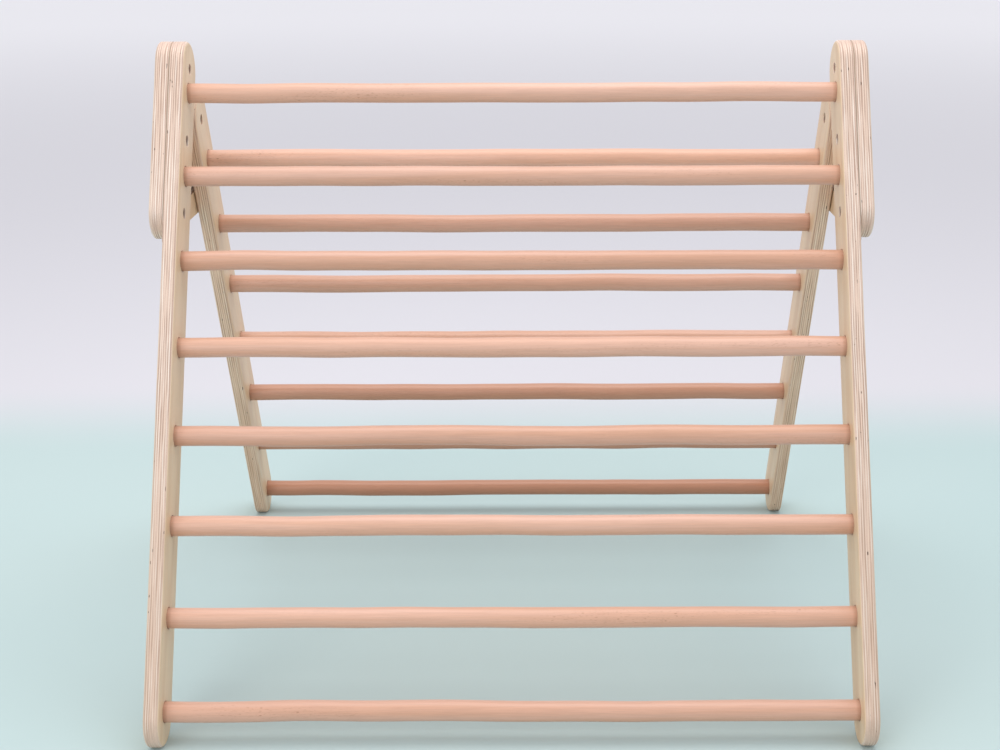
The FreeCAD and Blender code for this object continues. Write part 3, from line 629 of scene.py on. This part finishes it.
front_board = birch_plywood("front_rail_birch", RAIL_INNER["front"], front)
rear_board = birch_plywood("rear_rail_birch", RAIL_INNER["rear"], rear, yellowed=0.8)
plate_board = birch_plywood("side_plate_birch", PLATE_INNER, front)
pale_beech = beech("pale_beech", 0.0)
rosy_beech = beech("rosy_beech", 0.25)
red_beech = beech("red_beech", 0.40)
deep_beech = beech("deep_beech", 0.72)
dark_beech = beech("dark_beech", 0.95)
# the rear ladder's darker rungs are partly the beech's own tone and partly painted shade, standing in for
# the shade that falls on them behind the front ladder
RUNG_WOOD = {"front_rung_3": red_beech, "front_rung_5": red_beech, "rear_rung_1": pale_beech,
             "rear_rung_2": red_beech, "rear_rung_3": red_beech, "rear_rung_5": deep_beech,
             "rear_rung_6": deep_beech, "rear_rung_7": dark_beech}
# blackened steel: partly the screws' own dark finish and partly painted shade, darkening the heads so that
# the recesses they sit in look dark
steel = turned_metal("blackened_steel", (0.12, 0.10, 0.09), (0.06, 0.05, 0.045),
                     240, (4000, 500, 500), 0.26, 0.44)
brass = turned_metal("turned_brass", (0.78, 0.60, 0.30), (0.62, 0.44, 0.20),
                     300, (5000, 400, 400), 0.24, 0.42)
nylon = moulded_plastic("washer_nylon", (0.80, 0.79, 0.74), (0.72, 0.71, 0.66))
knob_plastic = moulded_plastic("knob_plastic", (0.022, 0.022, 0.024), (0.034, 0.034, 0.036))


# ---- boards ----
def board(inner, side, rounds):
    """A board as the hull of round discs: each is (centre, radius), seen from the side."""
    piece = joined([rod(level_with(side * inner, middle), side, 0, PLY_THICKNESS, radius,
                        corners=ARC_CORNERS) for middle, radius in rounds])
    edit(piece, "VERT")
    bpy.ops.mesh.select_all(action="SELECT")
    bpy.ops.mesh.convex_hull()
    bpy.ops.mesh.dissolve_limited(angle_limit=math.radians(0.3))
    bpy.ops.object.mode_set(mode="OBJECT")
    return piece


def round_outline(piece, x, radius, wanted=lambda edge: True, segments=6):
    """Round the outline of the board's face at this X, where the test wants it."""
    edit(piece)
    select(piece, "edges",
           lambda edge: all(abs(v.co.x - x) < FLUSH for v in edge.verts) and wanted(edge))
    bpy.ops.mesh.bevel(offset=radius, segments=segments, profile=0.5, affect="EDGES")
    bpy.ops.object.mode_set(mode="OBJECT")


def sawn(piece, level, **settings):
    """A level saw line all round the board; the settings can take away what is below it."""
    edit(piece)
    bpy.ops.mesh.select_all(action="SELECT")
    bpy.ops.mesh.bisect(plane_co=(0, 0, level), plane_no=(0, 0, 1), **settings)
    bpy.ops.object.mode_set(mode="OBJECT")


def lowest(edge):
    """How high the lower end of the edge is."""
    return min(v.co.z for v in edge.verts)


def drill(place, side, steps):
    """A stepped hole from the board's inner face, its mouth eased; steps are (depth, radius)."""
    mouth = steps[0][1]
    stations = [(-OVERCUT, mouth + HOLE_EASE + OVERCUT), (HOLE_EASE, mouth)]
    depth = HOLE_EASE
    for end, radius in steps:
        stations += [(depth, radius), (end, radius)]
        depth = end
    return turned(place, side, stations)


def rung_seat(place, side):
    """The blind seat of a rung's end, and the countersunk hole of its screw."""
    hole, head = WOOD_SCREW_SHANK + CLEARANCE, WOOD_SCREW_HEAD + CLEARANCE
    cone = PLY_THICKNESS - (head - hole)
    return turned(place, side, [
        (-OVERCUT, RUNG_SEAT_RADIUS + HOLE_EASE + OVERCUT), (HOLE_EASE, RUNG_SEAT_RADIUS),
        (RUNG_SEAT_DEPTH, RUNG_SEAT_RADIUS), (RUNG_SEAT_DEPTH, hole),
        (cone, hole), (PLY_THICKNESS + OVERCUT, head + OVERCUT)])


def rail(ladder, word, side, top, holes, material):
    """One rail: a long board with round ends, its sole, its rung seats and its screw holes."""
    inner = RAIL_INNER[ladder.word]
    outer = inner + PLY_THICKNESS
    piece = board(inner, side, [(ladder.foot, RAIL_WIDTH / 2), (top, RAIL_WIDTH / 2)])
    round_outline(piece, side * inner, EDGE_ROUND)
    if ladder is front:
        # rounded below the side plate, and only broken behind it, where the two boards meet
        level = plate_low + EDGE_ROUND
        sawn(piece, level)
        round_outline(piece, side * outer, EDGE_ROUND, lambda edge: lowest(edge) < level - NEARLY)
        round_outline(piece, side * outer, EDGE_BREAK, lambda edge: lowest(edge) > level + NEARLY, 3)
    else:
        round_outline(piece, side * outer, EDGE_ROUND / 2, segments=5)
    sawn(piece, 0, use_fill=True, clear_inner=True)
    cutters = [rung_seat(level_with(side * inner, middle), side) for middle in map(centre, ladder.rungs)]
    cutters += [drill(level_with(side * inner, middle), side, steps) for middle, steps in holes]
    cut(piece, *cutters)
    if ladder is rear:
        neck_hole = bolt_neck(level_with(side * inner, lock), side, 2 * BOLT_SHANK_RADIUS + CLEARANCE)
        cut(piece, neck_hole)
    return finished(piece, f"{ladder.word}_rail_{word}_board", ladder.body, [f"{ladder.word}_rail_{word}"],
                    material)


def bolt_neck(place, side, width):
    """The lock bolt's square neck, or the cutter of its hole, from inside the bolt's head."""
    return square_bar(place, side, BOLT_HEAD_HEIGHT - OVERCUT, BOLT_HEAD_HEIGHT + BOLT_NECK,
                      width, rear.lean)


through = PLY_THICKNESS + OVERCUT
screw_steps = [(RECESS_DEPTH, RECESS_RADIUS), (through, CAP_SHANK_RADIUS + CLEARANCE)]
pivot_steps = [(RECESS_DEPTH, RECESS_RADIUS), (through, BUSH_RADIUS)]
lock_steps = [(BOLT_HEAD_HEIGHT, BOLT_HEAD_RADIUS + BOLT_HEAD_CLEARANCE),
              (through, BOLT_SHANK_RADIUS + CLEARANCE / 2)]

for word, side in SIDES.items():
    rail(front, word, side, top_of_front, [(middle, screw_steps) for middle in plate_screws], front_board)
    rail(rear, word, side, pivot, [(pivot, pivot_steps), (lock, lock_steps)], rear_board)


def lock_slot(side):
    """The curved slot's cutters: a blank spun round the pivot from open to folded, and its two
    round ends."""
    arm = lock - pivot
    middle = side * (PLATE_INNER + PLY_THICKNESS / 2)
    bpy.ops.mesh.primitive_plane_add(size=1, location=(middle, lock.y, lock.z),
                                     rotation=(math.atan2(arm.z, arm.y), 0, 0))
    band = bpy.context.object
    band.scale = (PLY_THICKNESS + 2 * OVERCUT, 2 * SLOT_HALF_WIDTH, 1)
    settle(band)
    edit(band, "FACE")
    bpy.ops.mesh.select_all(action="SELECT")
    bpy.ops.mesh.spin(steps=SLOT_STEPS, angle=fold_travel, center=(0, pivot.y, pivot.z), axis=(1, 0, 0))
    bpy.ops.mesh.select_all(action="SELECT")
    bpy.ops.mesh.normals_make_consistent(inside=False)
    bpy.ops.object.mode_set(mode="OBJECT")
    folded = pivot + Matrix.Rotation(-fold_travel, 3, "X") @ arm
    ends = [rod(level_with(side * PLATE_INNER, end), side, -OVERCUT, through, SLOT_HALF_WIDTH)
            for end in (pivot + arm, folded)]
    return [band] + ends


def side_plate(word, side):
    """The outer plate: its outline goes round the top screw, the pivot and the two lower corners."""
    radius = RAIL_WIDTH / 2
    inset = radius - PLATE_CORNER
    level = plate_low + PLATE_CORNER

    def corner(start, ladder, way):
        """The centre of a lower corner's round, so that it and the round at start share an edge."""
        line = start + Vector((0, -ladder.up.z, ladder.up.y)) * way * inset
        return line - ladder.up * ((line.z - level) / ladder.up.z)

    rounds = [(top_of_front, radius), (pivot, radius), (corner(top_of_front, front, 1), PLATE_CORNER),
              (corner(pivot, rear, -1), PLATE_CORNER)]
    piece = board(PLATE_INNER, side, rounds)
    outer = side * (PLATE_INNER + PLY_THICKNESS)
    round_outline(piece, side * PLATE_INNER, EDGE_BREAK, segments=3)
    round_outline(piece, outer, EDGE_ROUND)
    # one cut at a time, because the slot's band and its ends overlap
    for cutter in lock_slot(side):
        cut(piece, cutter)
    reach = (lock - pivot).length
    round_outline(piece, outer, HOLE_EASE, lambda edge: all(
        abs((v.co.yz - pivot.yz).length - reach) < SLOT_HALF_WIDTH + NEARLY for v in edge.verts), 2)
    return finished(piece, f"side_plate_{word}_board", "front_ladder", [f"side_plate_{word}"],
                    plate_board)


for word, side in SIDES.items():
    side_plate(word, side)


# ---- rungs ----
def runs_along_x(edge, length):
    """Whether the edge goes along X for more than this length."""
    return abs(edge.verts[0].co.x - edge.verts[1].co.x) > length


def rung(node, body):
    """A beech rod with bevelled ends, not quite straight between its seats."""
    length = span(node)[1]
    half = length / 2
    bpy.ops.mesh.primitive_cylinder_add(vertices=RUNG_CORNERS, radius=RUNG_RADIUS, depth=length,
                                        location=centre(node), rotation=(0, math.pi / 2, 0))
    piece = settle(bpy.context.object)
    edit(piece)
    select(piece, "edges", lambda edge: runs_along_x(edge, half))
    bpy.ops.mesh.subdivide(number_cuts=RUNG_CUTS)
    select(piece, "edges", lambda edge: all(abs(v.co.x) > half - NEARLY for v in edge.verts))
    bpy.ops.mesh.bevel(offset=RUNG_END_BEVEL, segments=2, affect="EDGES")
    bpy.ops.object.mode_set(mode="OBJECT")
    group = "between_seats"
    free = piece.vertex_groups.new(name=group)
    held = half - 2 * RUNG_SEAT_DEPTH
    for vertex in piece.data.vertices:
        share = min(1.0, max(0.0, (held - abs(vertex.co.x)) / RUNG_WAVER_EASE))
        free.add([vertex.index], share, "REPLACE")
    for direction in ("Y", "Z"):
        modified(piece, f"waver_{direction}", "DISPLACE", texture=waver, texture_coords="LOCAL",
                 direction=direction, vertex_group=group, strength=RUNG_WAVER)
    piece.vertex_groups.clear()
    return finished(piece, f"{node}_rod", body, [node], RUNG_WOOD.get(node, rosy_beech))


waver = bpy.data.textures.new("rung_waver", "CLOUDS")
waver.noise_scale = RUNG_WAVER_LENGTH
waver.noise_depth = 1
for ladder in (front, rear):
    for node in ladder.rungs:
        rung(node, ladder.body)


# ---- screws, bolts and knobs ----
def rounded(start, low, rim):
    """Stations of a rounded rim: the radius grows by the rim as the distance does, in a quarter round."""
    turns = [math.radians(angle) for angle in range(0, 91, 15)]
    return [(start + rim * (1 - math.cos(turn)), low + rim * math.sin(turn)) for turn in turns]


def hex_socket(place, out, radius, depth):
    """The cutter of a hexagon socket, with a little lead-in."""
    return fuse(rod(place, out, -OVERCUT, depth, radius, corners=6),
                rod(place, out, -OVERCUT, SOCKET_LEAD_DEPTH, radius + SOCKET_LEAD_WIDE,
                    radius - SOCKET_LEAD_NARROW))


def cap_screw(place, out, length):
    """A cap screw from its head's face outwards: rounded rim, hexagon socket, plain shank."""
    rim, head = CAP_RIM, CAP_HEAD_RADIUS
    piece = turned(place, out, [
        (0, head - rim), (0.3 * rim, head - 0.3 * rim), (rim, head), (CAP_HEAD_HEIGHT, head),
        (CAP_HEAD_HEIGHT, CAP_SHANK_RADIUS), (length - rim, CAP_SHANK_RADIUS),
        (length, CAP_SHANK_RADIUS - rim)])
    return cut(piece, hex_socket(place, out, *CAP_SOCKET))


def wood_screw(place, out):
    """A countersunk wood screw from its head's face to its point, with a hexagon socket."""
    rim, shank = WOOD_SCREW_RIM, WOOD_SCREW_SHANK
    cone = WOOD_SCREW_HEAD - shank
    piece = turned(place, out, [
        (WOOD_SCREW_SUNK, WOOD_SCREW_HEAD - rim), (rim, WOOD_SCREW_HEAD), (cone + rim, shank),
        (WOOD_SCREW_LENGTH - shank, shank), (WOOD_SCREW_LENGTH, WOOD_SCREW_POINT)], corners=32)
    return cut(piece, hex_socket(place, out, *WOOD_SCREW_SOCKET))


def repeated(first, places):
    """The first piece, made at the first place, and a copy of it at each of the others, as one
    object."""
    return joined([first] + [copy_at(first, place - places[0]) for place in places[1:]])


def lock_bolt(place, out, length):
    """A domed bolt: its head in the rail's recess, a square neck and a shank."""
    piece = turned(place, out, rounded(0, BOLT_HEAD_RADIUS - BOLT_DOME, BOLT_DOME) + [
        (BOLT_HEAD_HEIGHT, BOLT_HEAD_RADIUS), (BOLT_HEAD_HEIGHT, BOLT_SHANK_RADIUS),
        (length, BOLT_SHANK_RADIUS)])
    neck = bolt_neck(place, out, 2 * BOLT_SHANK_RADIUS)
    edit(neck)
    select(neck, "edges", lambda edge: runs_along_x(edge, 1 * MM))
    bpy.ops.mesh.bevel(offset=BOLT_NECK_CORNER, segments=2, affect="EDGES")
    bpy.ops.object.mode_set(mode="OBJECT")
    return fuse(piece, neck)


def knob(place, out):
    """A five-lobed knob on a boss: a disc with a rounded rim, scalloped for the fingers, its face
    dished round a button, and a hole for its nut from behind."""
    rim = [(KNOB_HEIGHT - depth, radius)
           for depth, radius in reversed(rounded(0, KNOB_RADIUS - KNOB_RIM, KNOB_RIM))]
    disc = turned(place, out, [(KNOB_BOSS_HEIGHT, KNOB_RADIUS - 1 * MM),
                               (KNOB_BOSS_HEIGHT + 1 * MM, KNOB_RADIUS)] + rim, corners=KNOB_CORNERS)
    reach = KNOB_RADIUS + KNOB_SCALLOP_RADIUS - KNOB_SCALLOP_DEPTH
    scallops = []
    for number in range(KNOB_LOBES):
        angle = 2 * math.pi * number / KNOB_LOBES
        middle = place + Vector((0, reach * math.cos(angle), reach * math.sin(angle)))
        scallops.append(rod(middle, out, 0, KNOB_HEIGHT + OVERCUT, KNOB_SCALLOP_RADIUS, corners=72))
    cut(disc, *scallops)
    modified(disc, "soft_corners", "BEVEL", width=KNOB_SOFT_CORNER, segments=3,
             limit_method="ANGLE", angle_limit=math.radians(35))
    fuse(disc, turned(place, out, [(0, KNOB_BOSS_RADIUS - 0.5 * MM), (0.5 * MM, KNOB_BOSS_RADIUS),
                                   (KNOB_BOSS_HEIGHT + 2 * MM, KNOB_BOSS_RADIUS)]))
    face = place + Vector((out * KNOB_HEIGHT, 0, 0))
    cut(disc, turned(face, -out, KNOB_DISH, corners=72))
    fuse(disc, turned(face, -out, KNOB_BUTTON, corners=72))
    return cut(disc, rod(place, out, -OVERCUT, KNOB_NUT_HOLE_DEPTH, KNOB_NUT_HOLE_RADIUS))


# CAD nodes that stay as they are, with a new material
KEPT = {"plate_inserts": brass, "knob_nut": brass, "pivot_bush": steel, "lock_washer": steel,
        "pivot_washer": nylon}

for word, side in SIDES.items():
    start, _ = span(f"plate_screws_{word}")
    places = [level_with(side * start, middle) for middle in plate_screws]
    screws = repeated(cap_screw(places[0], side, CAP_LENGTH), places)
    finished(screws, f"plate_cap_screws_{word}", "front_ladder", [f"plate_screws_{word}"], steel)

    start, length = span(f"pivot_screw_{word}")
    screw = cap_screw(level_with(side * start, pivot), side, length)
    finished(screw, f"pivot_cap_screw_{word}", "front_ladder",
             [f"pivot_screw_{word}"], steel)

    for ladder in (front, rear):
        outer = side * (RAIL_INNER[ladder.word] + PLY_THICKNESS)
        places = [level_with(outer, middle) for middle in map(centre, ladder.rungs)]
        screws = repeated(wood_screw(places[0], -side), places)
        finished(screws, f"{ladder.word}_wood_screws_{word}", ladder.body,
                 [f"{ladder.word}_rung_screws_{word}"], steel)

    start, length = span(f"lock_bolt_{word}")
    bolt = lock_bolt(level_with(side * start, lock), side, length)
    finished(bolt, f"lock_domed_bolt_{word}", "rear_ladder",
             [f"lock_bolt_{word}"], steel)
    finished(knob(level_with(side * lock.x, lock), side), f"lobed_knob_{word}", f"{word}_knob",
             [f"lock_knob_{word}"], knob_plastic)

    for kind, material in KEPT.items():
        for material_slot in frame["nodes"][f"{kind}_{word}"].material_slots:
            material_slot.material = material


# ---- floor, light and camera ----
FLOOR_RADIUS = 40
FLOOR_DROP = 0.1 * MM
FLOOR_NEAR = (0.47, 0.60, 0.605)
FLOOR_CLOUD = (0.50, 0.62, 0.62)
FLOOR_FAR = (0.66, 0.65, 0.695)
FLOOR_FARTHEST = (0.93, 0.92, 0.96)


def pale_floor():
    """A wide plain floor, pale blue-grey near the object and lavender-white further off."""
    bpy.ops.mesh.primitive_circle_add(vertices=128, radius=FLOOR_RADIUS, fill_type="NGON",
                                      location=(0, 0, -FLOOR_DROP))
    floor = settle(bpy.context.object)
    floor.name = "pale_floor"
    made = Finish("pale_floor_paint")
    place = made.coordinates.outputs["Object"]
    behind = made.split(place)[1]
    cloud = made.noise(made.place(), scale=0.8, detail=2)
    near = made.blend(made.ramp(cloud, 0.3, 0.7), FLOOR_NEAR, FLOOR_CLOUD)
    colour = made.blend(made.ramp(behind, 0.62, 1.05), near, FLOOR_FAR)
    away = made.node("ShaderNodeVectorMath", operation="LENGTH")
    made.feed(away.inputs[0], place)
    colour = made.blend(made.ramp(away.outputs["Value"], 1.5, 12.0), colour, FLOOR_FARTHEST)
    floor.data.materials.append(made.surface(colour, 0.8))


def soft_light(name, place, aim, size, watts, colour):
    """A round softbox at the place, turned to the aim."""
    lamp = bpy.data.lights.new(name, "AREA")
    lamp.shape = "DISK"
    lamp.size = size
    lamp.energy = watts
    lamp.color = colour
    lit = bpy.data.objects.new(name, lamp)
    bpy.context.scene.collection.objects.link(lit)
    lit.location = place
    lit.rotation_euler = (Vector(aim) - Vector(place)).to_track_quat("-Z", "Y").to_euler()


pale_floor()
heart = (Vector(cad_box[0]) + Vector(cad_box[1])) / 2
soft_light("overhead_softbox", (0.1, 0.2, 3.2), heart, size=2.4, watts=42, colour=(1.0, 0.985, 0.97))
soft_light("front_softbox", (-1.7, -3.0, 1.9), heart, size=2.0, watts=26, colour=(1.0, 0.98, 0.965))

world = bpy.data.worlds.new("studio_air")
world.use_nodes = True
air = world.node_tree.nodes["Background"]
air.inputs["Color"].default_value = (0.97, 0.975, 1.0, 1)
air.inputs["Strength"].default_value = 0.9
bpy.context.scene.world = world
bpy.context.scene.view_settings.view_transform = "Standard"

CAMERA_PLACE = (0.0276, -1.9619, 0.9286)
CAMERA_DOWN, CAMERA_LEFT, CAMERA_ROLL = (math.radians(angle) for angle in (16.864, -0.077, 0.124))
CAMERA_LENS_MM = 55.94
CAMERA_SHIFT = -0.0372
lens = bpy.data.cameras.new("camera")
lens.sensor_width = 36
lens.lens = CAMERA_LENS_MM
lens.shift_x = CAMERA_SHIFT
lens.dof.use_dof = False
camera = bpy.data.objects.new("camera", lens)
bpy.context.scene.collection.objects.link(camera)
camera.matrix_world = (Matrix.Translation(CAMERA_PLACE)
                       @ Matrix.Rotation(CAMERA_LEFT, 4, "Z")
                       @ Matrix.Rotation(math.pi / 2 - CAMERA_DOWN, 4, "X")
                       @ Matrix.Rotation(-CAMERA_ROLL, 4, "Z"))
bpy.context.scene.camera = camera
